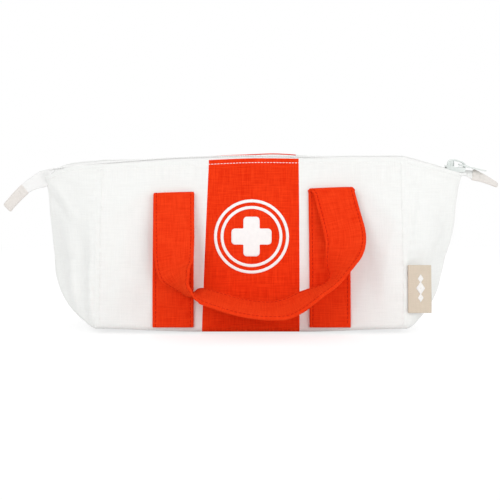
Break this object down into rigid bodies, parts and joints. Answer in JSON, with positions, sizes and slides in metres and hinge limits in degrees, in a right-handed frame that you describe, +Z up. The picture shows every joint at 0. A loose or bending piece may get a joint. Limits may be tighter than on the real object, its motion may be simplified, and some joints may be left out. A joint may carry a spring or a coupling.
{
  "type": "toy doctor case",
  "caption": "Soft cotton toy doctor case with an arched zip, boxed ends, a red band with a printed cross, and a strap handle on each side.",
  "frame": {"origin": "middle of the base's underside, where the case rests", "axes": "+X along the zip towards the closed slider, -Y out of the front with the emblem, +Z up"},
  "size_m": [0.3737, 0.1454, 0.1281],
  "materials": {
    "red": "plain woven cotton, slubby",
    "white": "plain woven cotton linen",
    "lining": "thin plain cotton",
    "print": "matte textile print",
    "strap": "folded cotton webbing",
    "tape": "woven zip tape",
    "coil": "nylon coil",
    "tab": "folded cotton",
    "slider": "white enamel",
    "label": "damask woven"
  },
  "bodies": {
    "root": {"base_left": "white", "base_band": "red", "base_right": "white", "base_lining": "lining", "left_gusset": "white", "left_gusset_lining": "lining", "left_zip_tape_ends": "tape", "left_zip_coil_ends": "coil", "left_zip_tab": "tab", "right_gusset": "white", "right_gusset_lining": "lining", "right_zip_tape_ends": "tape", "right_zip_coil_ends": "coil", "right_zip_tab": "tab"},
    "front_wall": {"front_panel_left": "white", "front_panel_right": "white", "front_band": "red", "front_lining": "lining", "front_strap_leg_left": "strap", "front_strap_leg_right": "strap", "front_zip_tape": "tape", "front_zip_coil": "coil", "emblem_cross": "print", "emblem_inner_ring": "print", "emblem_outer_ring": "print"},
    "back_wall": {"back_panel_left": "white", "back_panel_right": "white", "back_band": "red", "back_lining": "lining", "back_strap_leg_left": "strap", "back_strap_leg_right": "strap", "back_zip_tape": "tape", "back_zip_coil": "coil"},
    "front_handle": {"front_strap_loop": "strap"},
    "back_handle": {"back_strap_loop": "strap"},
    "slider": {"zip_slider": "slider", "zip_slider_bridge": "slider"},
    "pull": {"zip_pull": "slider"},
    "label": {"side_label": "label"}
  },
  "joints": [
    {"name": "front_wall_fold", "type": "hinge", "parent": "root", "child": "front_wall", "pos_m": [0, -0.043, 0.0012], "axis": [1, 0, 0], "range_deg": [0, 12]},
    {"name": "back_wall_fold", "type": "hinge", "parent": "root", "child": "back_wall", "pos_m": [0, 0.043, 0.0012], "axis": [-1, 0, 0], "range_deg": [0, 12]},
    {"name": "front_handle_swing", "type": "hinge", "parent": "front_wall", "child": "front_handle", "pos_m": [0, -0.02191, 0.102], "axis": [-1, 0, 0], "range_deg": [0, 155]},
    {"name": "back_handle_swing", "type": "hinge", "parent": "back_wall", "child": "back_handle", "pos_m": [0, 0.02191, 0.102], "axis": [1, 0, 0], "range_deg": [0, 155]},
    {"name": "zip_run", "type": "hinge", "parent": "root", "child": "slider", "pos_m": [0, 0, -1.025], "axis": [0, -1, 0], "range_deg": [0, 14.59]},
    {"name": "pull_flip", "type": "hinge", "parent": "slider", "child": "pull", "pos_m": [0.15579, 0, 0.12066], "axis": [0, -1, 0], "range_deg": [0, 165]},
    {"name": "label_turn", "type": "hinge", "parent": "front_wall", "child": "label", "pos_m": [0.1138, -0.04307, 0.0145], "axis": [0, 0.1648, 0.9863], "range_deg": [-120, 18]}
  ]
}
